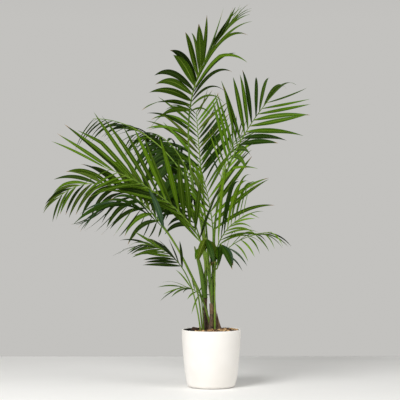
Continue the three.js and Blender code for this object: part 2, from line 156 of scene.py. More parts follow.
def add_node(near, kind, inputs=None, **settings):
    """A shader node beside another, or beside a socket, with its settings, and with its inputs
    given as values or as linked outputs."""
    tree = near.id_data
    made = tree.nodes.new(kind)
    for key, value in settings.items():
        setattr(made, key, value)
    for key, value in (inputs or {}).items():
        if isinstance(value, bpy.types.NodeSocket):
            tree.links.new(value, made.inputs[key])
        else:
            made.inputs[key].default_value = value
    return made


def maths(operation, *values):
    """One step of arithmetic on up to three values, of which the first is an output."""
    return add_node(values[0], "ShaderNodeMath", dict(enumerate(values)), operation=operation).outputs[0]


def axes(where):
    """The three coordinates of each place."""
    return add_node(where, "ShaderNodeSeparateXYZ", {0: where}).outputs


def tinted(share, first, second):
    """A colour that goes from the first to the second as share goes from 0 to 1."""
    return add_node(share, "ShaderNodeMix", {0: share, 6: first, 7: second}, data_type="RGBA").outputs[2]


def ranged(value, low, high, to_low=0.0, to_high=1.0):
    """A value carried from one range to another, held at its ends."""
    inputs = {"Value": value, "From Min": low, "From Max": high, "To Min": to_low, "To Max": to_high}
    return add_node(value, "ShaderNodeMapRange", inputs).outputs[0]


def grainy(where, scale, detail=3.0, roughness=0.5):
    """A noise of about that many lumps to the metre."""
    inputs = {"Vector": where, "Scale": scale, "Detail": detail, "Roughness": roughness}
    return add_node(where, "ShaderNodeTexNoise", inputs).outputs[0]


def new_finish(name, values):
    """A material with its shader, the values that are the same all over it, and the places on it."""
    made = bpy.data.materials.new(name)
    made.use_nodes = True
    shader = next(each for each in made.node_tree.nodes if each.type == "BSDF_PRINCIPLED")
    for key, value in values.items():
        shader.inputs[key].default_value = value
    return made, shader, add_node(shader, "ShaderNodeTexCoord").outputs["Object"]


def dress(shader, colour, roughness, height, strength, depth):
    """Links a finish's colour and roughness, and its height as a bump of that depth in metres."""
    bump = {"Height": height, "Strength": strength, "Distance": depth}
    links = {"Base Color": colour, "Roughness": roughness}
    links["Normal"] = add_node(shader, "ShaderNodeBump", bump).outputs[0]
    for key, value in links.items():
        shader.id_data.links.new(value, shader.inputs[key])


moulded = {"Coat Weight": 0.12, "Coat Roughness": 0.28}
pot_plastic, shader, where = new_finish("pot_plastic", moulded)
height = axes(where)[2]
clouds = ranged(grainy(where, 5.0, 2.0), 0.35, 0.7)
colour = tinted(clouds, POT_WHITE, POT_SHADE)
scuffs = ranged(grainy(where, 38.0, 5.0, 0.7), 0.60, 0.80)
low_down = ranged(height, 0.0, 0.045, 0.75, 0.04)
marks = maths("MULTIPLY", scuffs, low_down)
colour = tinted(marks, colour, POT_SCUFF)
level = {0: where, 1: (1.0, 1.0, 0.0)}
flat = add_node(where, "ShaderNodeVectorMath", level, operation="MULTIPLY").outputs[0]
radius = add_node(where, "ShaderNodeVectorMath", {0: flat}, operation="LENGTH").outputs["Value"]
# painted shade: the inner wall above the soil goes almost black, as if it lay in shadow
inside = ranged(radius, *SHADE_INSIDE, 1.0, 0.0)
under_lip = ranged(height, *SHADE_BELOW, 1.0, 0.0)
above_floor = ranged(height, *SHADE_ABOVE)
inner_wall_shade = maths("MULTIPLY", maths("MULTIPLY", inside, under_lip), above_floor)
colour = tinted(inner_wall_shade, colour, POT_PAINTED_SHADE)
skin = grainy(where, 900.0, 2.0)
dress(shader, colour, ranged(skin, 0.3, 0.7, 0.34, 0.44), skin, 0.12, 0.0002)

points, faces = lathed(pot_profile(), POT_SIDES)
pot = make_piece("pot_shell", points, faces, [pot_plastic], crease=40)
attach(pot, "root")
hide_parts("pot")


# ------------------------------------------------------------------ root ball and soil
# The root ball is a block of dark, damp potting mix that fills the pot to 14 mm below its lip,
# and a loose lumpy layer of crumbs lies on it, nearly level with the lip. It is painted almost
# black at the left as painted shade, and heaped up at the front right.
SOIL_TOP = 278
SOIL_FOOT = POT_FLOOR + 0.6
SOIL_GAP = 1.2  # between the mix and the pot's wall
SOIL_RINGS = 46
SOIL_SIDES = 120
SOIL_LOOSE = 5.5  # depth of the loose layer
SOIL_LUMPS = 2.6  # height of its lumps
SOIL_LUMP = 26  # and their width
SOIL_HEAP = 5  # height of the heap
SOIL_HEAP_AT, SOIL_HEAP_WIDE = (48, -62), (62, 58)
SOIL_FALL = 2.0  # how much lower the layer lies at the wall
# painted shade for the left of the mix's top
SOIL_PAINTED_SHADE = (0.006, 0.005, 0.004, 1)
SOIL_DARK = (0.018, 0.011, 0.007, 1)
SOIL_BROWN = (0.075, 0.043, 0.024, 1)
CRUMBS = 420
CRUMB_REACH = 138
CRUMB_SIZES = (1.0, 3.4)


def soil_height(x, y):
    """The height of the soil's top, in millimetres."""
    lumps = SOIL_LUMPS * noise.fractal(Vector((x / SOIL_LUMP, y / SOIL_LUMP, 3.1)), 0.8, 2.1, 5)
    reach = math.hypot(x, y) / 140
    off_x = (x - SOIL_HEAP_AT[0]) / SOIL_HEAP_WIDE[0]
    off_y = (y - SOIL_HEAP_AT[1]) / SOIL_HEAP_WIDE[1]
    heap = SOIL_HEAP * math.exp(-(off_x**2) - off_y**2)
    return SOIL_TOP + SOIL_LOOSE + lumps + heap - SOIL_FALL * reach**4


def pot_inner(height):
    return pot_outer(height) - POT_WALL - SOIL_GAP


soil_mix, shader, where = new_finish("soil_mix", {"Specular IOR Level": 0.25})
clods = grainy(where, 160.0, 6.0, 0.7)
colour = tinted(ranged(clods, 0.38, 0.68), SOIL_DARK, SOIL_BROWN)
# painted shade: the mix goes almost black toward the left, as if it lay in shadow
colour = tinted(ranged(axes(where)[0], -0.075, -0.03, 1.0, 0.0), colour, SOIL_PAINTED_SHADE)
damp = ranged(grainy(where, 60.0), 0.3, 0.7, 0.78, 0.98)
dress(shader, colour, damp, clods, 0.8, 0.002)

line = [(0, SOIL_FOOT), (pot_inner(POT_FLOOR) - 8, SOIL_FOOT), (pot_inner(24) - 6, 24)]
line += [(pot_inner(each), each) for each in (60, 110, 160, 210, 250, 270)]
below = len(line) * SOIL_SIDES
line += [(pot_inner(SOIL_TOP) * (1 - ring / SOIL_RINGS), 0) for ring in range(SOIL_RINGS + 1)]
points, faces = lathed(line, SOIL_SIDES)
points[below:] = [(x, y, soil_height(x, y)) for x, y, _ in points[below:]]  # the lumpy top

crumb_draw = random.Random(7)
for _ in range(CRUMBS):  # a crumb is a small eight-sided lump with its corners pulled about
    turn, reach = crumb_draw.uniform(0, 2 * math.pi), CRUMB_REACH * math.sqrt(crumb_draw.random())
    x, y = reach * math.cos(turn), reach * math.sin(turn)
    size = crumb_draw.uniform(*CRUMB_SIZES)
    start = len(points)
    for corner in ((1, 0, 0), (0, 1, 0), (-1, 0, 0), (0, -1, 0), (0, 0, 1), (0, 0, -1)):
        away = [size * (side + crumb_draw.uniform(-0.35, 0.35)) for side in corner]
        points.append((x + away[0], y + away[1], soil_height(x, y) + size * 0.3 + away[2] * 0.8))
    for k in range(4):
        faces.append((start + k, start + (k + 1) % 4, start + 4))
        faces.append((start + (k + 1) % 4, start + k, start + 5))

soil = make_piece("root_ball_soil", points, faces, [soil_mix], crease=35)
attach(soil, "root")
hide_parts("root_ball")


# ------------------------------------------------------------------ bark mulch
# A loose layer of pine-bark chips is scattered over the soil, thickest at the right and front,
# with none but one old lump on the painted-shade mix at the left. Each is a flat split flake,
# orange-brown or pale where it is freshly split and dark brown where it is weathered.
CHIPS = 150
CHIPS_LARGE = 8  # the first ones
CHIP_LARGE = (34, 19, 7)  # length, width and thickness of a large chip
CHIP_LONG, CHIP_WIDE, CHIP_THICK = (14, 36), (8, 19), (3, 7.5)  # and of the others
CHIP_TILT = 0.24
CHIP_REACH = 131
CHIP_EDGE = 140  # no chip's end passes this radius
CHIP_BARE = -70  # no small chips lie left of this
OLD_LUMP, OLD_LUMP_SIZE = (-82, 8), (30, 24, 19)
CHIP_ORANGE = (0.36, 0.185, 0.075, 1)
CHIP_PALE = (0.74, 0.50, 0.25, 1)
CHIP_BROWN = (0.060, 0.031, 0.017, 1)


def chip(draw, centre, long, wide, thick, tilt):
    """A split flake: a block of 5 x 4 x 3 corners, ragged at its ends and worn at its edges."""
    spin = draw.uniform(0, math.pi)
    tip, tip_turn = draw.gauss(0, tilt), draw.uniform(0, 2 * math.pi)
    bend = draw.uniform(-0.15, 0.15)
    grid = (5, 4, 3)
    numbers = np.zeros(grid, int)
    points, faces = [], []
    for place in np.ndindex(grid):
        a, b, c = (2 * n / (size - 1) - 1 for n, size in zip(place, grid))
        if abs(a) < 1 and abs(b) < 1 and abs(c) < 1:
            continue
        ragged = 1 - 0.16 * abs(b) ** 3 + draw.uniform(-0.12, 0.08)
        x = a * ragged * long / 2
        y = b * (1 - 0.22 * abs(a) ** 2 + draw.uniform(-0.10, 0.08)) * wide / 2
        z = c * (1 - 0.25 * max(abs(a), abs(b)) ** 3 + draw.uniform(-0.15, 0.15)) * thick / 2
        z += bend * x * x / long
        z += tip * (x * math.cos(tip_turn) + y * math.sin(tip_turn))
        numbers[place] = len(points)
        points.append((
            centre[0] + x * math.cos(spin) - y * math.sin(spin),
            centre[1] + x * math.sin(spin) + y * math.cos(spin),
            centre[2] + z,
        ))
    for axis in range(3):
        for end in (0, -1):
            side = np.take(numbers, end, axis)
            for p in range(side.shape[0] - 1):
                for q in range(side.shape[1] - 1):
                    corners = [side[p, q], side[p + 1, q], side[p + 1, q + 1], side[p, q + 1]]
                    outward = (end < 0) == (axis != 1)
                    faces.append(tuple(corners if outward else reversed(corners)))
    return points, faces


def stretched(where, scale):
    """Places scaled along each axis: a grain runs along the axis with the least."""
    return add_node(where, "ShaderNodeMapping", {"Vector": where, "Scale": scale}).outputs[0]


def paint(made, name, values):
    """Gives each point of a piece its own value, which its finish reads by that name."""
    made.data.attributes.new(name, "FLOAT", "POINT").data.foreach_set("value", values)


def painted(near, name):
    return add_node(near, "ShaderNodeAttribute", attribute_name=name).outputs["Fac"]


bark, shader, where = new_finish("pine_bark", {"Specular IOR Level": 0.3})
flake = painted(shader, "flake")
colour = tinted(ranged(flake, 0.30, 0.65), CHIP_BROWN, CHIP_ORANGE)
streaks = grainy(stretched(where, (1.0, 0.35, 2.2)), 420.0, 5.0, 0.65)
split = maths("MULTIPLY_ADD", flake, 0.6, streaks)
colour = tinted(ranged(split, 0.86, 1.02), colour, CHIP_PALE)
colour = tinted(ranged(streaks, 0.30, 0.44, 0.8, 0.0), colour, CHIP_BROWN)
dress(shader, colour, ranged(streaks, 0.3, 0.7, 0.95, 0.75), streaks, 0.7, 0.0015)

chip_draw = random.Random(23)
laid = []  # the points, the faces and the shade of each chip that is kept
for index in range(CHIPS):
    large = index < CHIPS_LARGE
    if large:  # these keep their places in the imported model, but lie on the loose mix
        low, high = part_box(f"bark_chip_{index + 1}")
        centre = [(low[k] + high[k]) / 2 / MM for k in range(3)]
        centre[2] = soil_height(centre[0], centre[1]) + 2.5
        size = CHIP_LARGE
    else:
        turn = chip_draw.gauss(-0.7, 1.15)
        reach = CHIP_REACH * math.sqrt(chip_draw.random())
        size = [chip_draw.uniform(*sizes) for sizes in (CHIP_LONG, CHIP_WIDE, CHIP_THICK)]
        x, y = reach * math.cos(turn), reach * math.sin(turn)
        centre = [x, y, soil_height(x, y) + size[2] * 0.45 + chip_draw.uniform(0, 3)]
    reach = math.hypot(centre[0], centre[1]) + size[0] * 0.5
    if reach > CHIP_EDGE:
        centre[0] *= CHIP_EDGE / reach
        centre[1] *= CHIP_EDGE / reach
    split_off = (*chip(chip_draw, centre, *size, CHIP_TILT), chip_draw.random())
    if large or centre[0] > CHIP_BARE:
        laid.append(split_off)
centre = (*OLD_LUMP, soil_height(*OLD_LUMP) + 9)
laid.append((*chip(chip_draw, centre, *OLD_LUMP_SIZE, 0.1), 0.1))

points, faces, shades = [], [], []
for chip_points, chip_faces, shade in laid:
    faces += [tuple(len(points) + k for k in face) for face in chip_faces]
    points += chip_points
    shades += [shade] * len(chip_points)
mulch = make_piece("bark_mulch", points, faces, [bark], crease=32)
paint(mulch, "flake", shades)
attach(mulch, "root")
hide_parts(*(f"bark_chip_{k + 1}" for k in range(CHIPS_LARGE)))


# ------------------------------------------------------------------ stems
# Three slim cane stems grow from the root ball, each with a flared, ribbed foot. They are brown
# and fibrous where old leaf bases have worn away, ringed by leaf scars, and green near the top.
STEMS = {
    "main": dict(foot=(35, 0), waist=(12, 2, 410), crown=(11, 4, 603), flare=24, girth=9.5, tip=8),
    "centre": dict(foot=(-2, -27), waist=(2, -22, 435), crown=(-13, -14, 606), flare=15, girth=8, tip=7),
    "left": dict(foot=(-24, 34), waist=(-31, 32, 435), crown=(-27, 32, 600), flare=17, girth=8, tip=7),
}
FLARE_HEIGHT = 110
STEM_FOOT = SOIL_TOP + 0.3
STEM_BROWN = (0.070, 0.040, 0.024, 1)
STEM_FIBRE = (0.190, 0.128, 0.080, 1)
STEM_DARK = (0.020, 0.012, 0.008, 1)
STEM_GREEN = (0.060, 0.120, 0.012, 1)


def smooth_line(points, share):
    """A point on the smooth curve through some points, evenly shared out between them."""
    last = len(points) - 2
    at = min(max(share, 0.0), 1.0) * (last + 1)
    start = min(int(at), last)
    along = at - start
    p1, p2 = points[start], points[start + 1]
    p0 = points[start - 1] if start > 0 else 2 * points[0] - points[1]
    p3 = points[start + 2] if start < last else 2 * points[-1] - points[-2]
    gaps = [math.sqrt(np.linalg.norm(b - a)) for a, b in ((p0, p1), (p1, p2), (p2, p3))]
    out = (p1 - p0) / gaps[0] - (p2 - p0) / (gaps[0] + gaps[1]) + (p2 - p1) / gaps[1]
    into = (p2 - p1) / gaps[1] - (p3 - p1) / (gaps[1] + gaps[2]) + (p3 - p2) / gaps[2]
    out, into = out * gaps[1], into * gaps[1]
    square, cube = along**2, along**3
    return (
        (2 * cube - 3 * square + 1) * p1 + (cube - 2 * square + along) * out
        + (3 * square - 2 * cube) * p2 + (cube - square) * into
    )


def stem_line(stem):
    return [np.array(each, float) for each in ((*stem["foot"], STEM_FOOT), stem["waist"], stem["crown"])]


def stem_radius(stem, share):
    height = share * (stem["crown"][2] - SOIL_TOP)
    flare = max(0.0, 1 - height / FLARE_HEIGHT)
    return mix(stem["girth"], stem["tip"], share) + (stem["flare"] - stem["girth"]) * flare**1.5


def unit(vector):
    return vector / np.linalg.norm(vector)


def tube(centres, radius_at, sides, reference):
    """A closed tube round a line of points. radius_at(i, turn) is its radius, reference its back."""
    points, count = [], len(centres)
    tangents = np.gradient(np.array(centres), axis=0)
    for i, centre in enumerate(centres):
        along = unit(tangents[i])
        back = reference[i] if np.ndim(reference) == 2 else reference
        across = unit(np.cross(along, back))
        above = np.cross(across, along)
        for k in range(sides):
            turn = 2 * math.pi * k / sides
            out = across * math.cos(turn) + above * math.sin(turn)
            points.append(centre + out * radius_at(i, turn))
    faces = wall(count, sides)
    faces.append(tuple(range(sides - 1, -1, -1)))
    faces.append(tuple((count - 1) * sides + k for k in range(sides)))
    return points, faces


cane, shader, where = new_finish("stem_cane", {"Specular IOR Level": 0.35})
height = axes(where)[2]
fibres = grainy(stretched(where, (1.0, 1.0, 0.09)), 520.0, 5.0, 0.65)
blotches = grainy(where, 42.0, 4.0, 0.6)
colour = tinted(ranged(fibres, 0.42, 0.64), STEM_BROWN, STEM_FIBRE)
colour = tinted(ranged(blotches, 0.46, 0.66, 0.0, 0.8), colour, STEM_DARK)
uneven = maths("MULTIPLY_ADD", blotches, 0.22, height)
colour = tinted(ranged(uneven, 0.47, 0.58), colour, STEM_GREEN)
dress(shader, colour, ranged(fibres, 0.3, 0.7, 0.92, 0.62), fibres, 0.75, 0.0012)

STEM_STEPS = 150
STEM_SIDES = 30
SCAR_FIRST, SCAR_LAST = 0.10, 0.97  # shares of a stem's height
SCAR_GAPS = (0.055, 0.085)
SCAR_WIDTH = 0.006
SCAR_RISE = 0.055  # of the stem's radius
RIBS_END = 0.22  # the foot's ribs run out at this share
for name, stem in STEMS.items():
    line = stem_line(stem)
    draw = random.Random(len(name) * 31)
    scars, at = [], SCAR_FIRST
    while at < SCAR_LAST:
        scars.append(at)
        at += draw.uniform(*SCAR_GAPS)
    phase = draw.uniform(0, 6)
    centres = [smooth_line(line, i / STEM_STEPS) for i in range(STEM_STEPS + 1)]

    def stem_skin(i, turn):
        share = i / STEM_STEPS
        radius = stem_radius(stem, share)
        ring = max(math.exp(-(((share - scar) / SCAR_WIDTH) ** 2)) for scar in scars)
        foot = max(0.0, 1 - share / RIBS_END)
        ribs = foot**1.5 * (0.12 * math.sin(5 * turn + phase) + 0.07 * math.sin(9 * turn + 2 * phase))
        x, y = math.cos(turn), math.sin(turn)
        rough = 0.035 * noise.noise(Vector((x * 2.2, y * 2.2, share * 14 + phase)))
        furrow = 0.02 * noise.noise(Vector((x * 7, y * 7, share * 3 + phase)))
        return radius * (1 + ribs + rough + furrow + SCAR_RISE * ring)

    points, faces = tube(centres, stem_skin, STEM_SIDES, np.array([0.0, 1.0, 0.2]))
    made = make_piece(f"cane_{name}", points, faces, [cane], crease=60)
    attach(made, "root")
    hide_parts(f"stem_{name}")


# ------------------------------------------------------------------ leaf sheaths
# Papery leaf bases still clasp each stem, one above another, dry and brown low down and green
# near its crown. Each is a curved strip that wraps part of the stem, frills at its edges and
# ends in a point, and a broad green one at the left has come away from its stem.
SHEATH_DRY = (0.105, 0.063, 0.035, 1)
SHEATH_PALE = (0.215, 0.155, 0.083, 1)
SHEATH_GREEN = (0.080, 0.155, 0.014, 1)

papery, shader, where = new_finish("sheath_papery", {"Specular IOR Level": 0.2})
fresh = painted(shader, "fresh")
threads = grainy(stretched(where, (1.0, 1.0, 0.06)), 700.0, 4.0, 0.6)
colour = tinted(ranged(threads, 0.42, 0.66), SHEATH_DRY, SHEATH_PALE)
colour = tinted(fresh, colour, SHEATH_GREEN)
dress(shader, colour, ranged(threads, 0.3, 0.7, 0.85, 0.55), threads, 0.6, 0.0008)

SHEATHS = 9  # on each stem
SHEATH_ROWS = 14
SHEATH_COLUMNS = 9
SHEATH_STAND = 4.2  # how far a sheath's tip stands off its stem
SHEATH_THICK = 0.7
LOOSE_SHEATH = [np.array(each, float) for each in ((-32, 24, 450), (-52, 18, 585), (-84, 12, 712))]
LOOSE_FACING, LOOSE_WRAP = -1.7, 1.9
for name, stem in STEMS.items():
    line = stem_line(stem)
    draw = random.Random(len(name) * 57 + 5)
    points, faces, freshness = [], [], []
    for index in range(SHEATHS + (name == "left")):
        start = mix(0.10, 0.88, index / (SHEATHS - 1))
        reach = draw.uniform(0.18, 0.30)
        facing, wrap = index * 2.4 + draw.uniform(-0.4, 0.4), draw.uniform(1.0, 1.5)
        green = min(1.0, max(0.0, (start - 0.36) * 5 + draw.uniform(-0.25, 0.25)))
        loose = index == SHEATHS  # the one that has come away
        if loose:
            line, start, reach, facing, wrap = LOOSE_SHEATH, 0.0, 1.0, LOOSE_FACING, LOOSE_WRAP
        first = len(points)
        for side in (1, 0):  # the outer skin, then the inner one
            for i in range(SHEATH_ROWS + 1):
                share = i / SHEATH_ROWS
                at = start + reach * share
                spot = smooth_line(line, min(at, 1.0))
                if at > 1:  # past the crown it goes straight on up
                    spot = spot + np.array([0, 0, (at - 1) * 325])
                stand = stem_radius(stem, min(at, 1)) + 0.6 + SHEATH_STAND * share + SHEATH_THICK * side
                if loose:
                    stand = 13 - 4 * share + SHEATH_THICK * side
                half = wrap * (1 - 0.85 * share**2)
                for j in range(SHEATH_COLUMNS):
                    turn = facing + half * (2 * j / (SHEATH_COLUMNS - 1) - 1)
                    frill = 0.5 * math.sin(j * 2.1 + i * 0.9 + index) * share
                    out = np.array([math.cos(turn), math.sin(turn), 0])
                    points.append(spot + out * (stand + frill))
                    freshness.append(green * (1 - 0.35 * share**3))
        skin = (SHEATH_ROWS + 1) * SHEATH_COLUMNS  # points from the outer skin on to the inner one
        grid = np.arange(first, first + skin).reshape(-1, SHEATH_COLUMNS)
        for i in range(SHEATH_ROWS):
            for j in range(SHEATH_COLUMNS - 1):
                a, b, c, d = grid[i, j], grid[i, j + 1], grid[i + 1, j + 1], grid[i + 1, j]
                faces += [(a, b, c, d), (a + skin, d + skin, c + skin, b + skin)]
        edge = [*grid[0], *grid[1:, -1], *grid[-1, -2::-1], *grid[-2:0:-1, 0]]
        faces += [(b, a, a + skin, b + skin) for a, b in zip(edge, edge[1:] + edge[:1])]
    made = make_piece(f"sheaths_{name}", points, faces, [papery], crease=45)
    paint(made, "fresh", freshness)
    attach(made, "root")


# ------------------------------------------------------------------ frond stalks
# Each frond hangs on a smooth light-green stalk that leaves the crown of its stem, or the soil
# as a shoot, and runs on as the midrib between its leaflets. It is channelled along its upper
# side, tapers all the way, and has brown scurf at its foot.
RANK_WORDS = "low high fan lift longest sag tip_sag first last slat breadth".split()


def rank(*values):
    """One rank of leaflets: their angles from the midrib at the first and last leaflet and how
    late they change, their lift out of the blade, the longest leaflet, how far the first and last
    droop, the share of the longest length that the first and last have, how far each is tipped
    about its own length, like a slat, and how broad they are beside the usual."""
    return dict(zip(RANK_WORDS, values))


# A frond: the stem or the place in the soil that its stalk rises from, where its midrib starts,
# its compass heading, its lean from upright there, what it arches over by and how late, and how
# far its heading sways. bare is the stalk's share of its length, and roll and twist turn the
# blade about the midrib. green deals out the leaf colours: bright as painted light, mid, dark as
# painted shade, blue as painted shade with a bluish painted reflection, and olive.
# stray is how much more than the usual its leaflets tangle.
FRONDS = {
    "top": dict(
        stem="main", foot=(4, 2, 633), heading=-53, lean=-25, arch=75, late=1.88, sway=14,
        length=1225, bare=0.65, roll=-170, twist=40, girth=6.5, pairs=17, green=(3, 10, 1, 0, 0),
        left=rank(104, 24, 0.5, -9.7, 445, 1.5, -0.3, 0.74, 0.6, -15, 1.5),
        right=rank(70, 13, 0.4, 6.6, 419, 1.6, 0.45, 0.4, 0.52, 30, 0.66),
    ),
    "right": dict(
        stem="main", foot=(16, 4, 633), heading=-30, lean=-5.4, arch=46, late=0.9, sway=42,
        length=896, bare=0.52, roll=33, twist=90, girth=6.5, pairs=12, green=(1, 10, 2, 0, 0),
        left=rank(38, 59, 1.4, 40, 326, -0.3, 0.94, 1.15, 1, -62, 1.0),
        right=rank(95, 31, 0.98, 40, 346, 1.35, -0.3, 0.4, 0.56, -35, 1.1),
    ),
    "lower_right": dict(
        soil=(17, -42), foot=(20, -6, 606), heading=-20, lean=10, arch=77, late=0.6, sway=12,
        length=365, bare=0.15, roll=-124, twist=-59, girth=4.5, pairs=8, green=(2, 5, 4, 1, 0),
        left=rank(66, 54, 1, 16, 145, 1.3, 1.3, 1, 1, 15, 0.6),
        right=rank(59, 52, 1, 16, 275, 0.98, 0.98, 0.76, 0.63, 28, 0.6),
    ),
    "rear": dict(
        stem="main", foot=(8, 20, 633), heading=70, lean=9, arch=68, late=1.8, sway=-2,
        length=845, bare=0.5, roll=31, twist=-19, girth=6, pairs=10, green=(3, 6, 3, 0, 1),
        left=rank(41, 13, 1, 13, 230, -0.3, -0.3, 0.93, 0.9, -20, 0.6),
        right=rank(30, 20, 1, 13, 245, 0.15, 0.15, 0.99, 0.6, -20, 0.55),
    ),
    "front_right": dict(
        stem="main", foot=(20, -22, 634), heading=-25, lean=-4.9, arch=79, late=0.82, sway=-23,
        length=315, bare=0.24, roll=-234, twist=-85, girth=5, pairs=8, green=(4, 8, 2, 0, 0),
        left=rank(20, 58, 2.2, 40, 447, 0.9, 1.2, 1.3, 0.44, 5, 0.6),
        right=rank(39, 13, 2.2, 40, 260, 1.4, 0.07, 1.14, 1, -50, 0.6),
    ),
    "left_front": dict(
        stem="centre", foot=(-18, -20, 633), heading=-150, lean=7, arch=66, late=0.6, sway=-52,
        length=750, bare=0.13, roll=-5, twist=70, girth=6.5, pairs=15, green=(6, 6, 1, 0, 1),
        left=rank(57, 13, 1.3, 8, 480, 0.2, 0.1, 1.2, 0.64, 40, 0.92),
        right=rank(36, 40, 1, 0, 365, -0.06, 0.5, 1, 0.6, -40, 0.78),
    ),
    "front": dict(
        stem="centre", foot=(-2, -34, 635), heading=-132, lean=-20, arch=64, late=0.84, sway=27,
        length=453, bare=0.33, roll=-154, twist=-37, girth=5.5, pairs=9, green=(4, 5, 2, 1, 1),
        left=rank(60, 13, 1.73, -24, 193, -0.3, -0.3, 1, 0.56, 50, 1),
        right=rank(57, 29, 1.16, -30, 362, 0.37, 0.43, 1.05, 0.46, 28, 0.75),
    ),
    "inner_front": dict(
        stem="centre", foot=(-20, -41, 612), heading=-95, lean=5, arch=105, late=1.2, sway=5,
        length=270, bare=0.4, roll=0, twist=5, girth=4, pairs=4, green=(0, 3, 3, 0, 5),
        left=rank(55, 30, 1, -60, 160, 1.3, 1, 1, 0.9, 80, 2.8),
        right=rank(55, 30, 1, -60, 160, 1.3, 1, 1, 0.9, 80, 2.8),
    ),
    "inner_right": dict(
        stem="main", foot=(30, -12, 602), heading=-80, lean=10, arch=100, late=1.3, sway=-5,
        length=230, bare=0.4, roll=0, twist=10, girth=4, pairs=4, green=(0, 1, 6, 3, 1),
        left=rank(60, 35, 1, -60, 160, 1, 1, 1, 0.9, 80, 2.5),
        right=rank(60, 35, 1, -60, 145, 1, 1, 1, 0.9, 80, 2.5),
    ),
    "centre_back": dict(
        stem="centre", foot=(-14, 2, 633), heading=95, lean=33, arch=-20, late=2.3, sway=9,
        length=890, bare=0.57, roll=-180, twist=20, girth=6, pairs=15, green=(0, 5, 6, 0, 3), stray=2.2,
        left=rank(40, 40, 1, 2, 290, -0.1, -0.1, 1, 0.65, -16, 0.95),
        right=rank(48, 45, 1, 2, 320, 0.8, 0.7, 1, 0.45, 30, 0.8),
    ),
    "dark_left": dict(
        stem="left", foot=(-40, 42, 743), heading=135, lean=12, arch=79, late=1.9, sway=-3,
        length=790, bare=0.25, roll=0, twist=10, girth=6, pairs=24, green=(0, 0, 12, 0, 0), stray=4,
        left=rank(62, 35, 1, -25, 275, 3.5, 3, 0.9, 0.6, -12, 1.5),
        right=rank(62, 35, 1, -25, 250, 3.2, 3, 0.9, 0.6, 12, 1.5),
    ),
    "upper_left_back": dict(
        stem="left", foot=(-46, 30, 871), heading=150, lean=20, arch=70, late=1, sway=-11,
        length=955, bare=0.25, roll=-241, twist=70, girth=6, pairs=15, green=(0, 3, 5, 3, 0),
        left=rank(14, 30, 1, 52, 330, 0.6, 0.6, 0.75, 0.86, 50, 0.6),
        right=rank(32, 37, 1, 52, 200, 0.82, 0.82, 1, 0.3, -40, 0.5),
    ),
    "rear_left": dict(
        stem="left", foot=(-32, 44, 631), heading=118, lean=21, arch=58, late=1.3, sway=6,
        length=560, bare=0.3, roll=-96, twist=-3, girth=5.5, pairs=11, green=(0, 4, 6, 0, 1),
        left=rank(42, 13, 1, 5, 340, 0.68, 0.68, 0.96, 0.89, -10, 0.9),
        right=rank(14, 13, 1, 5, 255, 0.19, 0.19, 0.97, 1, -40, 0.9),
    ),
    "far_left": dict(
        soil=(5, 2), foot=(-42, 12, 437), heading=186, lean=24, arch=110, late=2.24, sway=-32,
        length=1105, bare=0.41, roll=91, twist=-12, girth=6, pairs=14, green=(0, 3, 6, 1, 4),
        left=rank(26, 14, 1, 12, 270, 0.15, 1.1, 1.1, 0.45, -20, 1.25),
        right=rank(58, 20, 1, 35, 275, 1.7, 1.3, 0.9, 0.5, 5, 1.25),
    ),
    "low_left": dict(
        soil=(-42, -44), foot=(-73, -40, 493), heading=-165, lean=24, arch=94, late=2.4, sway=2,
        length=725, bare=0.48, roll=-96, twist=-70, girth=4.5, pairs=11, green=(0, 2, 4, 7, 0),
        left=rank(103, 13, 1.5, 60, 210, -0.3, -0.4, 0.3, 0.82, 45, 0.6),
        right=rank(40, 13, 0.35, 60, 365, 1.1, 1.06, 0.83, 0.3, 40, 0.65),
    ),
    "lower_left": dict(
        soil=(-54, -64), foot=(-56, -62, 300), heading=-160, lean=9, arch=85, late=2.1, sway=-12,
        length=580, bare=0.55, roll=-167, twist=-10, girth=4.5, pairs=12, green=(1, 4, 7, 0, 1),
        left=rank(70, 64, 1, 7, 255, 0.06, 0.06, 1.0, 0.54, 28, 0.8),
        right=rank(56, 49, 1, 7, 350, 0.21, 0.21, 0.75, 0.7, -35, 0.8),
    ),
    "small_left": dict(
        soil=(-36, 4), foot=(-48, 2, 430), heading=-178, lean=6, arch=95, late=0.9, sway=0,
        length=150, bare=0.15, roll=-20, twist=0, girth=3.5, pairs=6, green=(2, 4, 3, 0, 1),
        left=rank(100, 25, 1, 5, 165, 0.6, 0.4, 1, 0.8, -28, 0.6),
        right=rank(95, 25, 1, 5, 180, 0.6, 0.5, 1, 0.8, 28, 0.6),
    ),
}
UP = np.array([0.0, 0.0, 1.0])
LAW_STEPS = 60
RIB_TIP = 1.8  # radius of a midrib's tip
RIB_START = 0.62  # radius where the blade starts, of the stalk's girth
STALK_SIDES = 14
STALK_STEPS = 34
STALK_CHANNEL = 0.2  # depth of the channel, of the stalk's radius
CLASP_STEM, CLASP_SOIL = 0.30, 0.18  # how much a stalk's foot swells on a stem or in the soil
CLASP_END = 0.16  # the swelling runs out at this share of the stalk
CROWN_SHARE = 0.97  # stalks start at this share of their stem's height
RIB_STEPS = 46
STALK_GREEN = (0.080, 0.165, 0.012, 1)
STALK_LIME = (0.170, 0.265, 0.025, 1)
STALK_SCURF = (0.13, 0.085, 0.045, 1)


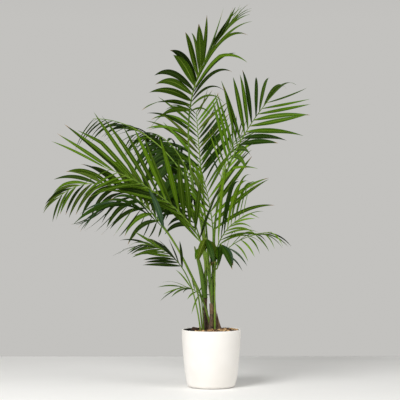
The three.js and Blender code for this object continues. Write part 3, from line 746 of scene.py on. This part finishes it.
def midrib(frond):
    """Walks a midrib: its points and the unit vectors along it, off its back and to its left."""
    path, before = [], None
    point = np.array(frond["foot"], float)
    for i in range(LAW_STEPS + 1):
        share = i / LAW_STEPS
        lean = math.radians(frond["lean"] + frond["arch"] * share ** frond["late"])
        heading = math.radians(frond["heading"] + frond["sway"] * share)
        outward = np.array([math.cos(heading), math.sin(heading), 0.0])
        along = outward * math.sin(lean) + UP * math.cos(lean)
        back = -outward * math.cos(lean) + UP * math.sin(lean)
        if before is not None:
            point = point + (before + along) * (frond["length"] / LAW_STEPS / 2)
        path.append((point, along, back, np.cross(UP, outward)))
        before = along
    return path


def at_share(path, share):
    """The point and the three unit vectors at a share of a midrib's length."""
    where = min(max(share, 0.0), 1.0) * LAW_STEPS
    low = min(int(where), LAW_STEPS - 1)
    point, along, back, left = (mix(path[low][k], path[low + 1][k], where - low) for k in range(4))
    return point, unit(along), back, left


def rib_radius(frond, share):
    out = max(0.0, (share - frond["bare"]) / (1 - frond["bare"]))
    return mix(frond["girth"] * RIB_START, RIB_TIP, out**0.8)


def stalk_line(frond, path):
    """The stalk's control points, from the stem's crown or the soil to where the blade starts."""
    if "stem" in frond:
        start = smooth_line(stem_line(STEMS[frond["stem"]]), CROWN_SHARE)
    else:
        start = np.array([*frond["soil"], STEM_FOOT], float)
    return [start] + [at_share(path, frond["bare"] * share)[0] for share in (0, 0.33, 0.67, 0.9, 1)]


stalk_skin, shader, where = new_finish("stalk_skin", {"Specular IOR Level": 0.2})
age = painted(shader, "age")
patches = grainy(where, 9.0, 3.0)
colour = tinted(ranged(patches, 0.35, 0.68), STALK_GREEN, STALK_LIME)
ribbing = grainy(stretched(where, (1.0, 1.0, 0.12)), 600.0, 3.0)
colour = tinted(ranged(ribbing, 0.45, 0.75, 0.0, 0.35), colour, STALK_GREEN)
specks = ranged(grainy(where, 240.0, 5.0, 0.7), 0.50, 0.68)
near_foot = ranged(age, 0.0, 0.16, 1.0, 0.12)
colour = tinted(maths("MULTIPLY", specks, near_foot), colour, STALK_SCURF)
dress(shader, colour, ranged(patches, 0.3, 0.7, 0.36, 0.50), ribbing, 0.35, 0.0005)

paths, limbs = {}, {}  # the midribs' walks, and the centre lines of all stalks and stems
for name, frond in FRONDS.items():
    path = paths[name] = midrib(frond)
    control = stalk_line(frond, path)
    centres = [smooth_line(control, i / STALK_STEPS) for i in range(STALK_STEPS)]
    radii = [frond["girth"] * mix(1, RIB_START, i / STALK_STEPS) for i in range(STALK_STEPS)]
    backs = [at_share(path, 0)[2]] * STALK_STEPS
    for i in range(RIB_STEPS + 1):
        share = mix(frond["bare"], 1, i / RIB_STEPS)
        point, along, back, left = at_share(path, share)
        centres.append(point)
        radii.append(rib_radius(frond, share) * (1 if i < RIB_STEPS else 0.4))
        backs.append(back)
    limbs[name] = np.array(centres)
    clasp = CLASP_STEM if "stem" in frond else CLASP_SOIL

    def stalk_wall(i, turn):
        foot = max(0.0, 1 - i / (CLASP_END * STALK_STEPS))
        channel = STALK_CHANNEL * math.exp(-((turn - math.pi / 2) / 0.5) ** 2)
        uneven = 0.03 * math.sin(3 * turn + i * 0.21)
        return radii[i] * (1 + clasp * foot**2) * (1 - channel) * (1 + uneven)

    points, faces = tube(centres, stalk_wall, STALK_SIDES, np.array(backs))
    made = make_piece(f"midrib_{name}", points, faces, [stalk_skin], crease=60)
    paint(made, "age", np.repeat(np.linspace(0, 1, len(centres)), STALK_SIDES))
    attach(made, "root")
    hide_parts(f"stalk_{name}")
for name, stem in STEMS.items():
    limbs[name] = np.array([smooth_line(stem_line(stem), i / 40) for i in range(41)])


# ------------------------------------------------------------------ leaflets
# Two ranks of long leaflets stand on each midrib, green and satin above, paler and duller below.
# A leaflet is a thin ribbed strip, folded down its middle, narrow at its root, widest two fifths
# of the way along and drawn out to a fine drooping tip, some of them scorched brown.
LEAF_STATIONS = 22
STATIONS = np.linspace(0, 1, LEAF_STATIONS + 1) ** 1.08  # closer together at the root
LEAF_WIDTH = 0.082  # of the length
LEAF_NARROWEST, LEAF_WIDEST = 17.0, 29.0
LEAF_TIP_LOSS = 0.4  # share of its width that the last leaflet lacks
LEAF_LEAST_ANGLE = 13
LEAF_LONGEST_AT = 0.4  # share of the blade where its longest leaflets stand
LEAF_WIDEST_AT = 0.42  # share of a leaflet's length
LEAF_ROOT = 0.2  # width of its root, of its full width
LEAF_EDGE = 0.25  # its half width is never less, in millimetres
LEAF_CLEAR = 7  # how far it keeps from stalks and other leaflets, where one of these turns does it
LEAF_NUDGES = (0, 3, -3, 6, -6)
LEAF_FREE = 4  # its first stations, too near the midrib to keep clear of it
LEAF_KINKED = 0.05  # share of the leaflets that are kinked
LEAF_DRY = 0.3  # and of those with a scorched tip
# a leaflet's section, over its face and back underneath: how far across, and above or below
LEAF_RING = ((-1, 0), (-0.5, 1), (0, 1), (0.5, 1), (1, 0), (0.5, -1), (0, -1.7), (-0.5, -1))
LEAF_SIDES = len(LEAF_RING)
LEAF_GREENS = {  # face, second tint, midrib and gloss of each kind
    # painted light: a lighter, yellower copy of the leaf green for leaflets that look lit
    "painted_light_bright": ((0.120, 0.250, 0.005, 1), (0.190, 0.325, 0.008, 1), (0.32, 0.43, 0.05, 1), 0.05),
    "mid": ((0.058, 0.138, 0.003, 1), (0.092, 0.185, 0.005, 1), (0.20, 0.31, 0.03, 1), 0.05),
    # painted shade: a darker copy of the leaf green for leaflets deep in the crown
    "painted_shade_dark": ((0.018, 0.048, 0.003, 1), (0.032, 0.074, 0.004, 1), (0.055, 0.105, 0.012, 1), 0.05),
    # painted shade tinted by a bluish painted reflection, with a stronger real gloss
    "painted_shade_blue": ((0.024, 0.058, 0.022, 1), (0.042, 0.084, 0.038, 1), (0.11, 0.18, 0.06, 1), 0.20),
    "olive": ((0.070, 0.112, 0.007, 1), (0.105, 0.150, 0.012, 1), (0.20, 0.26, 0.04, 1), 0.03),
    "under_fresh": ((0.062, 0.130, 0.005, 1), (0.090, 0.170, 0.008, 1), (0.20, 0.30, 0.04, 1), 0.02),
    "under_dull": ((0.055, 0.092, 0.010, 1), (0.080, 0.125, 0.016, 1), (0.17, 0.23, 0.04, 1), 0.02),
    # painted shade: the underside green darkened for leaflets in shadow
    "under_painted_shade": ((0.018, 0.038, 0.004, 1), (0.030, 0.058, 0.006, 1), (0.06, 0.10, 0.015, 1), 0.02),
    # painted light: the underside green lightened as if light shone through the leaflets
    "under_painted_light": ((0.090, 0.190, 0.006, 1), (0.130, 0.235, 0.009, 1), (0.26, 0.38, 0.05, 1), 0.02),
}
LEAF_UNDERS = (8, 5, 7, 7, 6)  # the underside of each of the first five, by its place here
LEAF_SATIN, UNDER_SATIN = (0.36, 0.45), (0.56, 0.6)  # roughness, and strength of the fine veins
LEAF_SCORCH = (0.24, 0.15, 0.06, 1)
LEAF_SHADE = 0.45  # the darkest leaflets, of their kind's own green
LEAF_VEINS = 118.0  # the fine veins come this many radians to the width


def leaf_finish(name, face, tint, rib, gloss, roughness, veins):
    """A leaf skin: lengthwise streaks and cloudy patches, a pale midrib and root, and dry tips."""
    made, shader, where = new_finish(f"leaf_{name}", {"Specular IOR Level": gloss})
    flat = where.node.outputs["UV"]
    across, along, _ = axes(flat)
    tone, scorch = painted(shader, "tone"), painted(shader, "scorch")
    streaks = grainy(stretched(flat, (26.0, 1.3, 1.0)), 1.0, 4.0, 0.6)
    patches = grainy(where, 11.0, 3.0)
    colour = tinted(ranged(streaks, 0.35, 0.68), face, tint)
    colour = tinted(ranged(patches, 0.30, 0.72, 0.0, 0.55), colour, face)
    darker = tuple(LEAF_SHADE * part for part in face[:3]) + (1,)
    colour = tinted(ranged(tone, 0.0, 1.0, 0.0, 0.9), colour, darker)
    off_rib = maths("ABSOLUTE", maths("SUBTRACT", across, 0.5))
    colour = tinted(ranged(off_rib, 0.018, 0.055, 0.8, 0.0), colour, rib)
    colour = tinted(ranged(along, 0.0, 0.09, 0.75, 0.0), colour, rib)
    at_tip = ranged(along, 0.90, 0.97)
    colour = tinted(maths("MULTIPLY", at_tip, scorch), colour, LEAF_SCORCH)
    comb = maths("SINE", maths("MULTIPLY", across, LEAF_VEINS))
    relief = maths("MULTIPLY_ADD", comb, 0.35, streaks)
    sheen = ranged(patches, 0.3, 0.7, roughness - 0.05, roughness + 0.08)
    dress(shader, colour, sheen, relief, veins, 0.0006)
    return made


leaf_skins = []
for kind, greens in LEAF_GREENS.items():
    satin = UNDER_SATIN if kind.startswith("under") else LEAF_SATIN
    leaf_skins.append(leaf_finish(kind, *greens, *satin))
UPRIGHT = ("low_left", 0, -1)  # the low left frond's first leaflet stands up, short and broad


def wobble(seed):
    """A small repeatable wobble between -1 and 1."""
    wave = math.sin(seed * 12.9898 + 4.1) * 43758.5453
    return 2 * (wave - math.floor(wave)) - 1


def length_share(side, out):
    """How long a leaflet is at a share of the blade, of the longest."""
    peak = LEAF_LONGEST_AT
    if out < peak:
        return 1 - (1 - side["first"]) * (1 - out / peak) ** 2
    return 1 - (1 - side["last"]) * ((out - peak) / (1 - peak)) ** 1.6


def turned(vector, axis, angle):
    """A vector turned about a unit axis, for rows of both."""
    cos, sin = np.cos(angle)[:, None], np.sin(angle)[:, None]
    dot = np.sum(vector * axis, axis=1)[:, None]
    return vector * cos + np.cross(axis, vector) * sin + axis * dot * (1 - cos)


def leaflet_centres(frond, path, side, sign, out, draw, nudge):
    """A leaflet's centre line, its length and the midrib's direction there. It leaves the midrib
    at its rank's angle and sags more toward its tip, and a few are kinked."""
    point, along, back, left = at_share(path, mix(frond["bare"], 1, out))
    roll = math.radians(frond["roll"] + frond["twist"] * out)
    flat = left * math.cos(roll) + back * math.sin(roll)
    off = back * math.cos(roll) - left * math.sin(roll)
    bend = mix(side["low"], side["high"], out ** side["fan"]) + draw["angle"] + nudge
    angle = math.radians(max(LEAF_LEAST_ANGLE, bend))
    lift = math.radians(side["lift"] + draw["lift"])
    outward = flat * math.cos(lift) * sign + off * math.sin(lift)
    first = along * math.cos(angle) + outward * math.sin(angle)
    droop = mix(side["sag"], side["tip_sag"], math.sqrt(out)) + draw["droop"]
    length = side["longest"] * length_share(side, out) * draw["length"]
    spot = point + first * rib_radius(frond, mix(frond["bare"], 1, out)) * 0.35
    centres = [spot]
    for before, after in zip(STATIONS, STATIONS[1:]):
        middle = (before + after) / 2
        sag = droop * middle**1.5
        if middle > draw["kink_at"]:
            sag += draw["kink"]
        step = unit(first - UP * sag + along * draw["sweep"] * middle)
        spot = spot + step * length * (after - before)
        centres.append(spot)
    return np.array(centres), length, along


def leaf_breadth(side, length, out):
    """A leaflet's full width, which shrinks toward the blade's tip."""
    usual = min(max(length * LEAF_WIDTH, LEAF_NARROWEST), LEAF_WIDEST)
    return usual * side["breadth"] * (1 - LEAF_TIP_LOSS * out**2)


def leaflet_skin(centres, full, along, tip, facing, draw):
    """A leaflet's rings of eight points: the upper skin from edge to edge, then the lower one."""
    forward = np.gradient(centres, axis=0)
    forward /= np.linalg.norm(forward, axis=1)[:, None]
    across = []
    for step in forward:  # carried along without a turn from the midrib's direction
        along = unit(along - step * (step @ along))
        across.append(along)
    across = turned(np.array(across), forward, tip + draw["tilt"] + draw["twist"] * STATIONS)
    above = np.cross(across, forward) * facing
    rise = np.clip(STATIONS / LEAF_WIDEST_AT, 0, 1)
    fall = np.clip((STATIONS - LEAF_WIDEST_AT) / 0.58, 0, 1)
    swell = LEAF_ROOT + 0.8 * np.sin(rise * math.pi / 2) ** 0.85
    half = np.maximum(full / 2 * swell * (1 - fall ** draw["taper"]), LEAF_EDGE)
    fold = np.tan(np.radians(draw["fold"] + 34 * (1 - rise) ** 2))
    thick = 0.45 + 0.5 * (1 - STATIONS)
    ring = []
    for spot, skin in LEAF_RING:
        height = -fold * half * abs(spot) + 0.10 * half * spot**2
        height += skin * thick * 0.5 * (1 - 0.4 * abs(spot))
        ring.append(centres + across * (half * spot)[:, None] + above * height[:, None])
    return np.stack(ring, axis=1)


placed = np.empty((0, 3))  # the free stations of all leaflets so far
for name, frond in FRONDS.items():
    path = paths[name]
    deal = random.Random(int(frond["length"]) + frond["pairs"])
    stray = frond.get("stray", 1)
    upper = 1 if math.cos(math.radians(frond["roll"] + frond["twist"] / 2)) > 0 else -1
    stalks = np.concatenate([line for other, line in limbs.items() if other != name])
    points, faces, kinds, flats, tones, scorched = [], [], [], [], [], []
    for index in range(frond["pairs"]):
        for sign in (1, -1):
            side = frond["left"] if sign > 0 else frond["right"]
            out = (index + 0.5 + 0.25 * sign) / frond["pairs"]
            seed = frond["length"] + index * 2 + sign
            draw = dict(
                angle=3 * stray * wobble(seed), length=1 + 0.045 * stray * wobble(seed + 1),
                lift=deal.gauss(0, 5 * stray), droop=deal.gauss(0, 0.11 * stray),
                sweep=deal.gauss(0, 0.10 * stray), tilt=deal.gauss(0, 0.24),
                twist=deal.gauss(0, 0.45), width=deal.uniform(0.80, 1.10), fold=deal.uniform(9, 19),
                taper=deal.uniform(1.5, 2.5), kink_at=deal.uniform(0.55, 0.8),
                kink=deal.uniform(0.15, 0.4) if deal.random() < LEAF_KINKED else 0,
            )
            # each leaflet's kind, some of which are painted light and painted shade
            kind = deal.choices(range(len(LEAF_UNDERS)), frond["green"])[0]
            tone, scorch = deal.random(), 1.0 if deal.random() < LEAF_DRY else 0.0
            if (name, index, sign) == UPRIGHT:
                draw.update(angle=-7, lift=-64, length=0.70, droop=-0.4, sweep=0)
                draw.update(tilt=3.8, twist=0, width=2.5)
                # this leaflet takes the painted-shade blue green
                kind, tone = list(LEAF_GREENS).index("painted_shade_blue"), 0.1
            best = None
            others = np.concatenate([stalks, placed])
            for nudge in LEAF_NUDGES:
                centres, length, along = leaflet_centres(frond, path, side, sign, out, draw, nudge)
                outer = centres[LEAF_FREE:, None, :]
                clear = np.linalg.norm(outer - others, axis=2).min()
                if best is None or clear > best[0]:
                    best = (clear, centres)
                if clear > LEAF_CLEAR:
                    break
            centres = best[1]
            placed = np.concatenate([placed, centres[LEAF_FREE:]])
            full = leaf_breadth(side, length, out) * draw["width"]
            tip = math.radians(side["slat"]) * sign
            rings = leaflet_skin(centres, full, along, tip, sign * upper, draw)
            first, count = sum(len(each) for each in points), len(rings)
            points.append(rings.reshape(-1, 3))
            tones += [tone] * (count * LEAF_SIDES)
            scorched += [scorch] * (count * LEAF_SIDES)
            for i in range(count - 1):
                for k in range(LEAF_SIDES):
                    after = (k + 1) % LEAF_SIDES
                    corners = [(i, k), (i, after), (i + 1, after), (i + 1, k)]
                    if sign == upper:
                        corners.reverse()
                    faces.append(tuple(first + row * LEAF_SIDES + column for row, column in corners))
                    flats += [((LEAF_RING[column][0] + 1) / 2, STATIONS[row]) for row, column in corners]
                    kinds.append(kind if k < LEAF_SIDES / 2 else LEAF_UNDERS[kind])
    leaves = make_piece(f"leaflets_{name}", np.concatenate(points), faces, leaf_skins, crease=16)
    leaves.data.polygons.foreach_set("material_index", kinds)
    flat_map = leaves.data.uv_layers.new(name="leaf")
    flat_map.data.foreach_set("uv", np.array(flats).ravel())
    paint(leaves, "tone", tones)
    paint(leaves, "scorch", scorched)
    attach(leaves, "root")
    halves = ("_inner", "_outer") if name in ("far_left", "low_left") else ("",)
    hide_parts(*(f"frond_{name}{half}" for half in halves))


# ------------------------------------------------------------------ room
# The palm stands on a plain pale floor in a pale grey surround, lit by two broad soft lamps. The
# camera looks level at it from 7.5 m away through a long lens.
FLOOR_CORNERS = ((-1700, -1500, 0), (1700, -1500, 0), (1700, 1450, 0), (-1700, 1450, 0))
FLOOR_WHITE = (0.90, 0.892, 0.87, 1)
FLOOR_GREY = (0.86, 0.852, 0.83, 1)
SURROUND_PALE = (0.545, 0.538, 0.52, 1)
SURROUND_CEILING = (0.30, 0.30, 0.295, 1)
LAMP_AIM = (0, 0, 0.9)
CAMERA_PLACE = (-0.0574, -7.5, 0.948)
CAMERA_LENS = 132.9
CAMERA_SENSOR = 36

floor_paint, shader, where = new_finish("floor_paint", {"Specular IOR Level": 0.3})
cloudy = grainy(where, 1.6, 4.0)
colour = tinted(ranged(cloudy, 0.35, 0.7), FLOOR_WHITE, FLOOR_GREY)
sheen = ranged(cloudy, 0.3, 0.7, 0.45, 0.6)
dress(shader, colour, sheen, grainy(where, 300.0), 0.05, 0.0002)
floor = make_piece("floor", FLOOR_CORNERS, [(0, 1, 2, 3)], [floor_paint])
floor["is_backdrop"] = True

world = bpy.data.worlds.new("surround")
world.use_nodes = True
backdrop = world.node_tree.nodes["Background"]
height = axes(add_node(backdrop, "ShaderNodeTexCoord").outputs["Generated"])[2]
surround = tinted(ranged(height, 0.12, 0.55), SURROUND_PALE, SURROUND_CEILING)
world.node_tree.links.new(surround, backdrop.inputs["Color"])
bpy.context.scene.world = world


def soft_lamp(name, place, size, power):
    lamp = bpy.data.lights.new(name, "AREA")
    lamp.shape = "DISK"
    lamp.size = size
    lamp.energy = power
    made = put(name, lamp)
    made.location = place
    made.rotation_euler = (Vector(LAMP_AIM) - Vector(place)).to_track_quat("-Z", "Y").to_euler()


soft_lamp("key_lamp", place=(-2.2, -3.2, 3.6), size=2.4, power=230)
soft_lamp("fill_lamp", place=(3.0, -2.2, 2.6), size=2.6, power=60)

lens = bpy.data.cameras.new("camera")
lens.lens = CAMERA_LENS
lens.sensor_width = CAMERA_SENSOR
camera = put("camera", lens)
camera.location = CAMERA_PLACE
camera.rotation_euler = (math.radians(90), 0, 0)
bpy.context.scene.camera = camera
bpy.context.scene.view_settings.view_transform = "Standard"

low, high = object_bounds()
